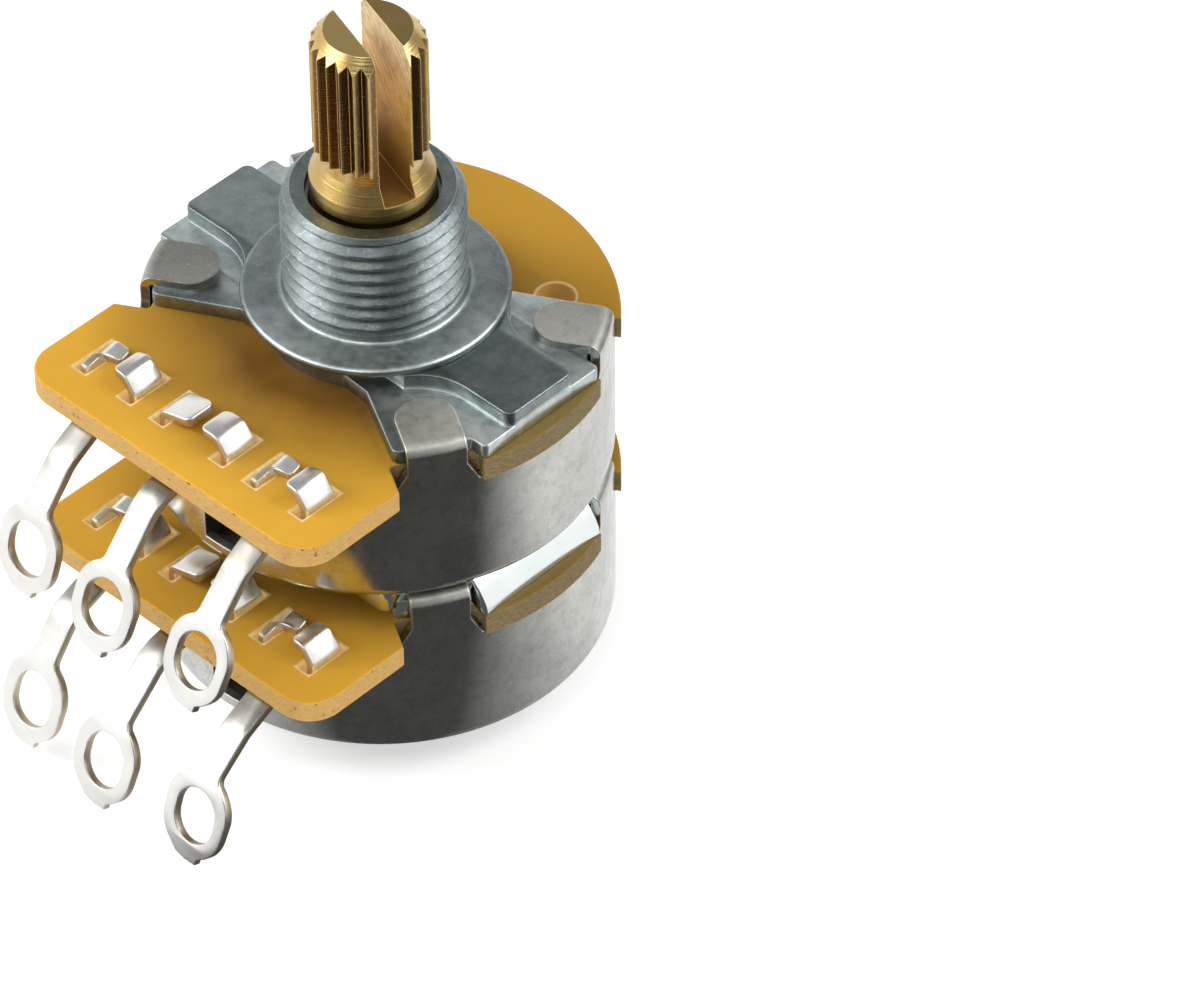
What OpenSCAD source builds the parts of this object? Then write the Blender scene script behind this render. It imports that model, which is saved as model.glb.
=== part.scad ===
// Dual rotary potentiometer: two resistance elements on one knurled split shaft.
// Z runs along the shaft, z = 0 is the bushing flange that seats on the panel,
// and the solder terminals point towards -Y.

/* [Shaft] */
// Diameter of the shaft where it runs in the bushing
shaft_d = 6.4; // [6.2:0.05:6.5]
// Height of the shaft's tip above the panel face
shaft_top = 16.45; // [14:0.25:20]
// Crest diameter of the knurl
knurl_d = 5.9; // [5.7:0.05:6.1]
// Depth of the knurl's grooves
knurl_depth = 0.35; // [0.2:0.05:0.4]
// Number of grooves round the knurl
knurl_teeth = 24; // [18:1:32]
// Height of the knurl's lower end
knurl_bottom = 9.2; // [8.8:0.1:11]
// Width of the saw cut that splits the knurl
slot_w = 1.7; // [0.8:0.1:2]
// Height of the saw cut's floor
slot_floor = 7.45; // [7.45:0.05:9]
// Direction of the saw cut with the shaft at mid travel
slot_angle = -18; // [-90:1:90]

/* [Bushing and plate] */
// Outer diameter of the threaded bushing
bushing_d = 9.46; // [9.3:0.02:10]
// Height of the bushing above the panel face
bushing_h = 6.4; // [5:0.1:7]
// Distance between the thread's crests
thread_pitch = 0.8; // [0.7:0.05:1]
// Diameter of the round seating flange
flange_d = 13.8; // [13:0.1:14.4]
// Depth of the plate's underside below the panel face
plate_depth = 2.16; // [2:0.02:2.4]
// Width of the raised pads either side of the flange
pad_w = 4.6; // [4:0.1:5.2]

/* [Wafers] */
// Thickness of the phenolic wafers
wafer_t = 1.34; // [1:0.02:1.6]
// Overhang of the wafers' round part beyond the cups
wafer_lip = 0.3; // [0:0.05:0.5]
// Width of the terminal end of the wafers
paddle_w = 20.4; // [19.4:0.1:21]
// Length of the terminal end beyond the cups
paddle_l = 3.25; // [2.8:0.05:4]
// Distance between the two wafers
pitch = 10.7; // [10.4:0.1:12]

/* [Cups] */
// Outer diameter of the steel cups
cup_d = 24.2; // [23.8:0.1:26]
// Thickness of the cups' sheet
cup_t = 0.5; // [0.4:0.05:0.6]
// Width of the four folded tabs
tab_w = 3.1; // [2.6:0.1:3.4]
// Angle of each tab off the X axis
tab_angle = 30.5; // [29.5:0.5:31.5]
// Length of the tabs folded in over the plate
tab_l = 3.9; // [3.4:0.1:4.2]

/* [Terminals] */
// Distance between neighbouring terminals
terminal_pitch = 6.1; // [6:0.05:6.3]
// Thickness of the terminals' sheet
terminal_t = 0.5; // [0.4:0.05:0.6]
// Width of the strip between wafer and eyelet
strip_w = 1.6; // [1.4:0.1:2]
// Width of the solder eyelet
eyelet_w = 4.1; // [3.7:0.1:4.4]
// Length of the solder eyelet
eyelet_l = 4.9; // [4.6:0.1:5.2]
// Width of the eyelet's hole
eyelet_hole_w = 2.6; // [2:0.1:2.8]
// Length of the eyelet's hole
eyelet_hole_l = 3.1; // [2.9:0.1:3.4]
// Distance from the cups' wall to the eyelets' centres
eyelet_out = 7.1; // [6.8:0.1:8]
// Drop of the eyelets' centres below the wafer's underside
eyelet_drop = 6; // [5.6:0.1:6.6]
// Lean of the eyelets away from the shaft's direction
eyelet_tilt = 20; // [16:1:24]

/* [Hidden] */
fine = 96;
coarse = 32;
over = 0.5;
seam = 0.02;
brass_color = [0.75, 0.6, 0.28];
zinc_color = [0.5, 0.54, 0.55];
steel_color = [0.6, 0.6, 0.58];
phenolic_color = [0.72, 0.5, 0.2];
tin_color = [0.85, 0.84, 0.8];
carbon_color = [0.06, 0.06, 0.06];
silver_color = [0.8, 0.8, 0.78];
moulded_color = [0.12, 0.11, 0.1];
bronze_color = [0.7, 0.5, 0.3];

// Shaft: the land below the ring groove ends where the flat-sided tang begins.
shaft_r = shaft_d / 2;
knurl_r = knurl_d / 2;
tip_inset = 0.7;
tip_r = knurl_r - tip_inset;
tip_chamfer = 0.8;
neck_proud = 0.05;
neck_r = knurl_r - knurl_depth + neck_proud;
shoulder_z = 7.4;
neck_z = 8.4;
ring_gap = 0.1;
ring_t = 0.5;
ring_w = 1.6;
groove_depth = 0.5;
groove_r = shaft_r - groove_depth;
ring_r = groove_r + ring_w;
groove_top = -plate_depth - ring_gap;
groove_bottom = groove_top - ring_t;
land_t = 0.5;
land_bottom = groove_bottom - land_t;
tang_step = 0.9;
tang_r = shaft_r - tang_step;
tang_cut = 0.5;
tang_flat = tang_r - tang_cut;

// Cups
cup_r = cup_d / 2;
cup_inner = cup_r - cup_t;
cup_corner = 0.6;

// Bushing and plate
bushing_r = bushing_d / 2;
bore_gap = 0.05;
bore_r = shaft_r + bore_gap;
mouth_step = 0.18;
mouth_r = bore_r + mouth_step;
mouth_depth = 0.6;
nose_in = 0.53;
nose_mid = 0.28;
nose_drop = 0.65;
thread_depth = 0.6 * thread_pitch;
thread_half = thread_depth * tan(30);
thread_start = 0.75;
thread_top = bushing_h - nose_drop;
thread_turns = floor((thread_top - thread_start) / thread_pitch);
flange_r = flange_d / 2;
flange_t = 0.43;
flange_edge = 0.18;
waist_in = 1.1;
waist_r = flange_r - waist_in;
pad_fillet = 3.4;
pad_corner = 0.5;
pad_half = pad_w / 2;
pad_t = plate_depth - flange_t;
plate_in = 0.45;
plate_half = cup_r - plate_in;
lobe_t = 0.86;
lobe_gap = 0.15;
lobe_r = cup_inner - lobe_gap;
lobe_slope = 29;
lobe_root = 2.75;
end_half = 4.1;
end_l = 2.65;
end_inner = plate_half - end_l;
fillet_y = pad_half + pad_fillet;
fillet_x = sqrt(pow(flange_r + pad_fillet, 2) - pow(fillet_y, 2));
fillet_share = flange_r / (flange_r + pad_fillet);

// Wafers
wafer_top = -plate_depth;
wafer_bottom = wafer_top - wafer_t;
wafer_r = cup_r + wafer_lip;
wafer_hole_r = 5;
paddle_half = paddle_w / 2;
paddle_reach = cup_r + paddle_l;
paddle_corner = 2;
peephole_r = 1;
peephole = [5.73, 7.11];
slot_long = 2.6;
slot_wide = 1.1;
slot_in = 0.05;
slot_y = slot_in - cup_r;
outer_span = 2;
middle_span = 2.5;

// Tabs, the notches they pass through, and the openings in the cups' wall
tab_tip_r = cup_r - tab_l;
tab_bend = 0.7;
root_half = 2.2;
tab_sector = 20;
root_h = 1.2;
notch_gap = 0.1;
notch_half = root_half + notch_gap;
notch_r = sqrt(pow(cup_inner, 2) - pow(root_half, 2)) - notch_gap;
relief_half = 5.8;
relief_h = 0.9;
window_x = [-0.4, 2.6];
stop_l = 2.6;
stop_r = cup_inner - stop_l;
stop_top = 3.5;
stop_h = 3;
stop_x = window_x[0] - cup_t / 2;
stop_angle = atan2(stop_x, stop_r);

// Rear plate: its web carries the front cup's floor, its ears take the rear tabs.
rear_h = 2.16;
rear_t = 1.26;
rear_web_x = 8.6;
rear_web_y = 8.3;
rear_web_corner = 0.6;
rear_bar_half = 4.2;
rear_bar_r = 1;
rear_proud = 0.05;
rear_end = plate_half + rear_proud;
rear_hole_r = 3;
ear_in = 0.7;
ear_inner = tab_tip_r - ear_in;
ear_half = 2.3;
tab_gap = 0.3;
cup_h = pitch - wafer_t - rear_h;
cup_floor = cup_h - cup_t;
window_h = cup_floor - cup_t;
cup_hole_r = 3.3;

// Terminals: base under the wafer, two prongs clinched over its top.
base_gap = 0.05;
prong_l = 2.3;
bend_out = 1;
knee_out = 4.2;
knee_drop = 1.25;
knee_r = 2;
left_rise = 0.66;
right_rise = 1;
prong_tip = 0.2;
prong_gap = 0.03;
nub_x = 0.7;
nub_l = 0.2;
nub_w = 0.9;
nub_run = 1;
// How each terminal is bent off the common form: knee reach, knee drop,
// eyelet reach, eyelet drop and lean.
front_left_bend = [0, 0.45, -0.35, 0.15, -4.5];
front_middle_bend = [-0.2, -0.45, 0.2, -0.25, 2.5];
front_right_bend = [-0.3, 0.35, -0.35, -0.2, 4];
rear_left_bend = [0.5, 0.15, 0.1, -0.2, 0.5];
rear_middle_bend = [0, -0.6, 0.8, -0.5, 1];
rear_right_bend = [0.2, 0.35, 0.3, -0.4, 0.5];

// Resistance elements
film_t = 0.1;
track_gap = 30;
track_w = 1.6;
track_in_gap = 1.8;
track_out = cup_inner - track_in_gap;
track_in = track_out - track_w;
track_pad_x = [4.2, 5.4];
track_pad_l = 2.7;
collector_gap = 1.6;
collector_w = 1.2;
collector_out = track_in - collector_gap;
collector_in = collector_out - collector_w;
lead_w = 1.6;

// Rotors and wipers, heights counted from the wafer's top
rotor_top = 2.84;
rotor_t = 1.5;
rotor_gap = 1.2;
rotor_r = cup_inner - rotor_gap;
hub_r = 4.5;
hub_top = 1.84;
hub_gap = 0.3;
tang_gap = 0.05;
lug_gap = 1.3;
lug_w = 1.1;
lug_out = cup_inner - lug_gap;
lug_in = lug_out - lug_w;
lug_half = 24;
lug_drop = 2.3;
wiper_t = 0.2;
wiper_gap = 0.1;
wiper_w = 2.4;
wiper_in = hub_r + wiper_gap;
wiper_out = wiper_in + wiper_w;
finger_w = 1;
outer_finger_y = (track_in + track_out) / 2;
outer_finger_x = 4.6;
inner_finger_y = (collector_in + collector_out) / 2;
inner_finger_x = 3.4;
bridge_angle = 63;
bridge_in = 0.2;
bridge_r = rotor_r - bridge_in;
bridge_w = 1.8;
contact_r = 0.3;
contact_gap = 0.1;
tang_end_gap = 0.4;
tang_bottom = wafer_top - 2 * pitch + rear_h + cup_t + tang_end_gap;

// A V-groove star: every second corner lies at the bottom of a groove.
module knurl_outline() {
  polygon([
    for (i = [0 : 2 * knurl_teeth - 1])
      let (r = knurl_r - (i % 2) * knurl_depth)
        [r * cos(i * 180 / knurl_teeth), r * sin(i * 180 / knurl_teeth)]
  ]);
}

// Bar turned from the land up to the neck, with the ring groove cut in.
module shaft_bar() {
  rotate_extrude($fn = fine)
    polygon([
      [0, land_bottom],
      [shaft_r, land_bottom],
      [shaft_r, groove_bottom],
      [groove_r, groove_bottom],
      [groove_r, groove_top],
      [shaft_r, groove_top],
      [shaft_r, shoulder_z],
      [neck_r, neck_z],
      [neck_r, knurl_bottom],
      [0, knurl_bottom]
    ]);
}

// Knurled head with its turned chamfer.
module shaft_head() {
  intersection() {
    translate([0, 0, knurl_bottom])
      linear_extrude(shaft_top - knurl_bottom)
        knurl_outline();
    rotate_extrude($fn = fine)
      polygon([
        [0, knurl_bottom],
        [knurl_r + over, knurl_bottom],
        [knurl_r + over, shaft_top - tip_chamfer],
        [knurl_r, shaft_top - tip_chamfer],
        [tip_r, shaft_top],
        [0, shaft_top]
      ]);
  }
}

// Round bar with two flats that drives both rotors.
module tang(r, flat, bottom, top) {
  intersection() {
    translate([0, 0, bottom])
      cylinder(h = top - bottom, r = r, $fn = fine);
    translate([-r - over, -flat, bottom])
      cube([2 * (r + over), 2 * flat, top - bottom]);
  }
}

module shaft() {
  color(brass_color)
    difference() {
      union() {
        shaft_bar();
        shaft_head();
        tang(tang_r, tang_flat, tang_bottom, land_bottom + over);
      }
      rotate([0, 0, slot_angle])
        translate([-shaft_r - over, -slot_w / 2, slot_floor])
          cube([2 * (shaft_r + over), slot_w, shaft_top]);
    }
}

// Spring ring in the shaft's groove, under the plate.
module retaining_ring() {
  color(steel_color)
    translate([0, 0, groove_bottom])
      difference() {
        cylinder(h = ring_t, r = ring_r, $fn = fine);
        translate([0, 0, -over])
          cylinder(h = ring_t + 2 * over, r = groove_r, $fn = fine);
      }
}

// Pad between the flange and the plate's flat end, flaring into the flange.
module pad_outline() {
  difference() {
    union() {
      square([2 * plate_half - 2 * pad_corner, pad_w], center = true);
      square([2 * plate_half, pad_w - 2 * pad_corner], center = true);
      for (sx = [-1, 1], sy = [-1, 1]) {
        translate([sx * (plate_half - pad_corner), sy * (pad_half - pad_corner)])
          circle(r = pad_corner, $fn = coarse);
        polygon([
          [0, 0],
          [sx * fillet_x, 0],
          [sx * fillet_x, sy * pad_half],
          [sx * fillet_x * fillet_share, sy * fillet_y * fillet_share]
        ]);
      }
    }
    for (sx = [-1, 1], sy = [-1, 1])
      translate([sx * fillet_x, sy * fillet_y])
        circle(r = pad_fillet, $fn = fine);
  }
}

// Bow-tie lobes under the tabs, wider strips at the flat ends.
module lobe_outline() {
  reach = plate_half;
  intersection() {
    circle(r = lobe_r, $fn = fine);
    polygon([
      [0, lobe_root],
      [reach, lobe_root + reach * tan(lobe_slope)],
      [reach, -lobe_root - reach * tan(lobe_slope)],
      [0, -lobe_root],
      [-reach, -lobe_root - reach * tan(lobe_slope)],
      [-reach, lobe_root + reach * tan(lobe_slope)]
    ]);
  }
  for (s = [-1, 1])
    translate([s * (plate_half + end_inner) / 2, 0])
      square([plate_half - end_inner, 2 * end_half], center = true);
}

// Flange with a rounded rim and bushing whose thread is turned as V grooves.
module bushing_profile() {
  square([flange_r - flange_edge, flange_t]);
  translate([0, flange_edge])
    square([flange_r, flange_t - 2 * flange_edge]);
  for (z = [flange_edge, flange_t - flange_edge])
    translate([flange_r - flange_edge, z])
      circle(r = flange_edge, $fn = coarse);
  polygon([
    [0, 0],
    [bushing_r, 0],
    for (i = [thread_turns - 1 : -1 : 0], side = [-1, 0, 1])
      [
        bushing_r - (1 - abs(side)) * thread_depth,
        flange_t + thread_top - (i + 0.5) * thread_pitch + side * thread_half
      ],
    [bushing_r, flange_t + thread_top],
    [bushing_r - nose_mid, flange_t + bushing_h - nose_mid],
    [bushing_r - nose_in, flange_t + bushing_h],
    [0, flange_t + bushing_h]
  ]);
}

// One zinc die casting: bushing, flange, waist, pads and lobes.
module bushing_plate() {
  color(zinc_color)
    difference() {
      union() {
        translate([0, 0, -flange_t])
          rotate_extrude($fn = fine)
            bushing_profile();
        translate([0, 0, -plate_depth])
          cylinder(h = pad_t + flange_t / 2, r = waist_r, $fn = fine);
        translate([0, 0, -plate_depth])
          linear_extrude(pad_t)
            pad_outline();
        translate([0, 0, -plate_depth])
          linear_extrude(lobe_t)
            lobe_outline();
      }
      translate([0, 0, -plate_depth - over])
        cylinder(h = plate_depth + bushing_h + 2 * over, r = bore_r, $fn = fine);
      translate([0, 0, bushing_h - mouth_depth])
        cylinder(h = mouth_depth + over, r = mouth_r, $fn = fine);
    }
}

module each_tab() {
  for (a = [tab_angle, 180 - tab_angle, 180 + tab_angle, -tab_angle])
    rotate([0, 0, a])
      children();
}

module wafer_outline() {
  difference() {
    union() {
      circle(r = wafer_r, $fn = fine);
      translate([-paddle_half, paddle_corner - paddle_reach])
        square([paddle_w, paddle_reach - paddle_corner]);
      translate([paddle_corner - paddle_half, -paddle_reach])
        square([paddle_w - 2 * paddle_corner, paddle_reach]);
      for (s = [-1, 1])
        translate([s * (paddle_half - paddle_corner), paddle_corner - paddle_reach])
          circle(r = paddle_corner, $fn = coarse);
    }
    circle(r = wafer_hole_r, $fn = fine);
    translate(peephole)
      circle(r = peephole_r, $fn = coarse);
    each_tab()
      translate([notch_r, -notch_half])
        square([wafer_r, 2 * notch_half]);
    for (i = [-1, 0, 1], s = [-1, 1])
      translate([i * terminal_pitch + s * (span(i) - slot_wide / 2), slot_y])
        square([slot_wide, slot_long], center = true);
  }
}

function span(i) = i == 0 ? middle_span : outer_span;

// Punched paper-phenolic board.
module wafer(drop) {
  color(phenolic_color)
    translate([0, 0, wafer_bottom - drop])
      linear_extrude(wafer_t)
        wafer_outline();
}

// Carbon horseshoe printed on the wafer's underside, open towards the terminals.
module track(drop) {
  color(carbon_color)
    translate([0, 0, wafer_bottom - film_t - drop]) {
      rotate([0, 0, track_gap - 90])
        rotate_extrude(angle = 360 - 2 * track_gap, $fn = fine)
          translate([track_in, 0])
            square([track_out - track_in, film_t]);
      for (s = [0, 1])
        mirror([s, 0, 0])
          translate([track_pad_x[0], slot_y + slot_long / 2, 0])
            cube([track_pad_x[1] - track_pad_x[0], track_pad_l, film_t]);
    }
}

// Silver ring with a lead to the middle terminal.
module collector(drop) {
  mid = (collector_in + collector_out) / 2;
  color(silver_color)
    translate([0, 0, wafer_bottom - film_t - drop]) {
      difference() {
        cylinder(h = film_t, r = collector_out, $fn = fine);
        translate([0, 0, -over])
          cylinder(h = film_t + 2 * over, r = collector_in, $fn = fine);
      }
      translate([-lead_w / 2, slot_y + slot_long / 2, 0])
        cube([lead_w, -mid - slot_y - slot_long / 2, film_t]);
    }
}

// Prong in the X-Z plane: leg, round bend and a finger whose tip meets the wafer.
module prong_outline(half, rise) {
  bend_in = bend_out - terminal_t;
  leg = wafer_t + rise - bend_out + terminal_t;
  finger = half - bend_out - prong_tip;
  height = rise - bend_out - prong_gap;
  droop = atan2(bend_in, finger) + asin(height / norm([bend_in, finger]));
  translate([half - terminal_t, -wafer_t - terminal_t])
    square([terminal_t, leg]);
  translate([half - bend_out, rise - bend_out]) {
    intersection() {
      difference() {
        circle(r = bend_out, $fn = coarse);
        circle(r = bend_in, $fn = coarse);
      }
      polygon([
        [0, 0],
        [2 * bend_out, 0],
        [2 * bend_out, 2 * bend_out],
        [-2 * bend_out * sin(droop), 2 * bend_out * cos(droop)]
      ]);
    }
    rotate([0, 0, droop])
      translate([-finger, bend_in])
        square([finger + seam, terminal_t]);
  }
}

module stroke(a, b) {
  dx = b[0] - a[0];
  dy = b[1] - a[1];
  translate(a)
    rotate([0, 0, atan2(dy, dx)])
      translate([0, -terminal_t / 2])
        square([norm([dx, dy]), terminal_t]);
  for (p = [a, b])
    translate(p)
      circle(r = terminal_t / 2, $fn = coarse);
}

function unit(v) = v / norm(v);

// Sheet seen on edge: straight from a, bent at k with radius r, straight to b.
module bent_stroke(a, k, b, r) {
  u = unit(k - a);
  v = unit(b - k);
  reach = r * tan(acos(u * v) / 2);
  p = k - u * reach;
  q = k + v * reach;
  side = cross(u, v) > 0 ? 1 : -1;
  c = p + side * r * [-u[1], u[0]];
  stroke(a, p);
  stroke(q, b);
  intersection() {
    translate(c)
      difference() {
        circle(r = r + terminal_t / 2, $fn = fine);
        circle(r = r - terminal_t / 2, $fn = fine);
      }
    polygon([c, 2 * p - c, 2 * k - c, 2 * q - c]);
  }
}

// Solder eyelet: stadium ring whose end runs out to one side into a cut-off nub.
module eyelet_outline() {
  side = (eyelet_l - eyelet_w) / 2;
  hole = (eyelet_hole_l - eyelet_hole_w) / 2;
  difference() {
    union() {
      for (s = [-1, 1])
        translate([0, s * side])
          circle(r = eyelet_w / 2, $fn = coarse);
      square([eyelet_w, 2 * side], center = true);
      polygon([
        [nub_x, 0],
        [nub_x, -eyelet_l / 2 - nub_l],
        [nub_x - nub_w, -eyelet_l / 2 - nub_l / 2],
        [-nub_run, -eyelet_l / 2 + 2 * nub_l],
        [-nub_run, 0]
      ]);
    }
    for (s = [-1, 1])
      translate([0, s * hole])
        circle(r = eyelet_hole_w / 2, $fn = coarse);
    square([eyelet_hole_w, 2 * hole], center = true);
  }
}

// Tin-plated brass terminal at place i, counted from the middle one.
module terminal(i, drop, bend) {
  half = span(i) - base_gap;
  tilt = eyelet_tilt + bend[4];
  eye = [-cup_r - eyelet_out - bend[2], -eyelet_drop - bend[3]];
  rim = eyelet_l / 2 - terminal_t;
  neck = [eye[0] + rim * sin(tilt), eye[1] + rim * cos(tilt)];
  knee = [-cup_r - knee_out - bend[0], -knee_drop - bend[1]];
  start = [slot_y - slot_long / 2 + terminal_t, -terminal_t / 2];
  color(tin_color)
    translate([i * terminal_pitch, 0, wafer_bottom - drop]) {
      translate([-half, slot_y - prong_l / 2, -terminal_t])
        cube([2 * half, prong_l, terminal_t]);
      for (s = [0, 1])
        mirror([1 - s, 0, 0])
          translate([0, slot_y + prong_l / 2, wafer_t])
            rotate([90, 0, 0])
              linear_extrude(prong_l)
                prong_outline(half, s == 1 ? right_rise : left_rise);
      translate([-strip_w / 2, 0, 0])
        rotate([90, 0, 90])
          linear_extrude(strip_w)
            bent_stroke(start, knee, neck, knee_r);
      translate([0, eye[0], eye[1]])
        rotate([90 - tilt, 0, 0])
          linear_extrude(terminal_t, center = true)
            eyelet_outline();
    }
}

// Moulded carrier with a flat-sided bore and a lug that meets the cup's stop.
module rotor(drop) {
  top = wafer_top - rotor_top - drop;
  floor_z = wafer_bottom - cup_floor - drop;
  color(moulded_color)
    difference() {
      union() {
        translate([0, 0, floor_z + hub_gap])
          cylinder(h = wafer_top - hub_top - drop - floor_z - hub_gap, r = hub_r, $fn = fine);
        translate([0, 0, top - rotor_t])
          cylinder(h = rotor_t, r = rotor_r, $fn = fine);
        translate([0, 0, top - rotor_t - lug_drop])
          rotate([0, 0, 90 + stop_angle - lug_half])
            rotate_extrude(angle = 2 * lug_half, $fn = fine)
              translate([lug_in, 0])
                square([lug_out - lug_in, lug_drop + rotor_t / 2]);
      }
      tang(
        tang_r + tang_gap,
        tang_flat + tang_gap,
        floor_z - over,
        wafer_top - drop
      );
    }
}

// Sprung finger that climbs from the rotor to the film, with a rolled contact.
module finger(x, y) {
  low = -rotor_top + wiper_t / 2;
  high = -wafer_t - film_t - contact_gap - contact_r;
  translate([x, y - finger_w / 2, low])
    rotate([0, atan2(high - low, x), 0])
      translate([-norm([x, high - low]), 0, -wiper_t / 2])
        cube([norm([x, high - low]), finger_w, wiper_t]);
  translate([0, y + finger_w / 2, high])
    rotate([90, 0, 0])
      cylinder(h = finger_w, r = contact_r, $fn = coarse);
}

// Phosphor-bronze wiper that bridges track and collector.
module wiper(drop) {
  color(bronze_color)
    translate([0, 0, wafer_top - drop]) {
      translate([0, 0, -rotor_top])
        linear_extrude(wiper_t)
          difference() {
            union() {
              circle(r = wiper_out, $fn = fine);
              rotate([0, 0, bridge_angle])
                translate([wiper_in, -bridge_w / 2])
                  square([bridge_r - wiper_in, bridge_w]);
            }
            circle(r = wiper_in, $fn = fine);
          }
      finger(outer_finger_x, outer_finger_y);
      finger(inner_finger_x, inner_finger_y);
    }
}

// Tab seen in section: it rises with the wall and folds in over the plate.
module tab_profile(grip) {
  top = grip + cup_t;
  rise = wafer_t + top - tab_bend;
  translate([cup_inner, -root_h])
    square([cup_t, rise + root_h]);
  translate([cup_r - tab_bend, rise])
    intersection() {
      difference() {
        circle(r = tab_bend, $fn = coarse);
        circle(r = tab_bend - cup_t, $fn = coarse);
      }
      square([tab_bend, tab_bend]);
    }
  translate([tab_tip_r, wafer_t + grip])
    square([cup_r - tab_bend - tab_tip_r, cup_t]);
}

// Plan of the whole tab above the flared root.
module tab_outline() {
  translate([tab_tip_r + tab_w / 2, 0])
    circle(r = tab_w / 2, $fn = coarse);
  translate([tab_tip_r + tab_w / 2, -tab_w / 2])
    square([cup_r, tab_w]);
}

// Flared root: widest at the rim and drawn in to the tab's width.
module root_outline() {
  polygon([
    [-root_half, -root_h],
    [root_half, -root_h],
    [root_half, 0],
    [tab_w / 2, root_h],
    [-tab_w / 2, root_h],
    [-root_half, 0]
  ]);
}

module tab(grip) {
  intersection() {
    rotate([0, 0, -tab_sector])
      rotate_extrude(angle = 2 * tab_sector, $fn = fine)
        tab_profile(grip);
    union() {
      translate([0, 0, -root_h])
        linear_extrude(cup_h)
          tab_outline();
      rotate([90, 0, 90])
        linear_extrude(cup_r + over)
          root_outline();
    }
  }
}

module cup_profile() {
  difference() {
    union() {
      square([cup_r - cup_corner, cup_h]);
      translate([0, cup_corner])
        square([cup_r, cup_h - cup_corner]);
      translate([cup_r - cup_corner, cup_corner])
        circle(r = cup_corner, $fn = coarse);
    }
    translate([-over, cup_t])
      square([cup_inner + over, cup_h]);
  }
}

// Drawn steel cup; one wall window is opened by the stop folded in beside it.
module cup(drop, grip, hole_r) {
  color(steel_color)
    translate([0, 0, wafer_bottom - drop]) {
      difference() {
        translate([0, 0, -cup_h])
          difference() {
            rotate_extrude($fn = fine)
              intersection() {
                cup_profile();
                square([cup_d, cup_h]);
              }
            if (hole_r > 0)
              translate([0, 0, -over])
                cylinder(h = cup_t + 2 * over, r = hole_r, $fn = fine);
          }
        translate([-relief_half, -cup_d, -relief_h])
          cube([2 * relief_half, cup_d, relief_h + over]);
        translate([window_x[0], -cup_d, -window_h])
          cube([window_x[1] - window_x[0], cup_d - stop_r, window_h + over]);
      }
      each_tab()
        tab(grip);
      translate([stop_x - cup_t / 2, -cup_inner - cup_t / 2, -stop_top - stop_h])
        cube([cup_t, cup_inner + cup_t / 2 - stop_r, stop_h]);
    }
}

module rear_web_outline() {
  difference() {
    union() {
      square([2 * rear_web_x, 2 * (rear_web_y - rear_web_corner)], center = true);
      square([2 * (rear_web_x - rear_web_corner), 2 * rear_web_y], center = true);
      for (sx = [-1, 1], sy = [-1, 1])
        translate([sx * (rear_web_x - rear_web_corner), sy * (rear_web_y - rear_web_corner)])
          circle(r = rear_web_corner, $fn = coarse);
      square([2 * (rear_end - rear_bar_r), 2 * rear_bar_half], center = true);
    }
    circle(r = rear_hole_r, $fn = fine);
    each_tab()
      translate([tab_tip_r - tab_gap, -tab_w / 2 - tab_gap])
        square([cup_r, tab_w + 2 * tab_gap]);
  }
}

// Rolled-down end of the rear plate, seen along Y.
module rear_bar_outline() {
  translate([rear_end - rear_t, 0])
    square([rear_t, rear_h - rear_bar_r]);
  translate([rear_end - rear_t, 0])
    square([rear_t - rear_bar_r, rear_h]);
  intersection() {
    translate([rear_end - rear_bar_r, rear_h - rear_bar_r])
      circle(r = rear_bar_r, $fn = coarse);
    translate([rear_end - rear_t, 0])
      square([rear_t, rear_h]);
  }
}

// Stamped steel plate between the front cup's floor and the rear wafer.
module rear_plate() {
  color(zinc_color)
    translate([0, 0, wafer_top - pitch]) {
      translate([0, 0, rear_h - rear_t])
        linear_extrude(rear_t)
          rear_web_outline();
      linear_extrude(rear_t)
        intersection() {
          circle(r = lobe_r, $fn = fine);
          each_tab()
            translate([ear_inner, -ear_half])
              square([cup_r, 2 * ear_half]);
        }
      for (s = [0, 1])
        mirror([s, 0, 0])
          translate([0, rear_bar_half, 0])
            rotate([90, 0, 0])
              linear_extrude(2 * rear_bar_half)
                rear_bar_outline();
    }
}

shaft();
retaining_ring();
bushing_plate();
wafer(0);  // front_wafer
track(0);  // front_track
collector(0);  // front_collector
terminal(-1, 0, front_left_bend);  // front_terminal_left
terminal(0, 0, front_middle_bend);  // front_terminal_middle
terminal(1, 0, front_right_bend);  // front_terminal_right
rotor(0);  // front_rotor
wiper(0);  // front_wiper
cup(0, lobe_t, cup_hole_r);  // front_cup
rear_plate();
wafer(pitch);  // rear_wafer
track(pitch);  // rear_track
collector(pitch);  // rear_collector
terminal(-1, pitch, rear_left_bend);  // rear_terminal_left
terminal(0, pitch, rear_middle_bend);  // rear_terminal_middle
terminal(1, pitch, rear_right_bend);  // rear_terminal_right
rotor(pitch);  // rear_rotor
wiper(pitch);  // rear_wiper
cup(pitch, rear_t, 0);  // rear_cup
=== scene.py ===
import math

import bmesh
import bpy
from mathutils import Matrix, Vector


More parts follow.
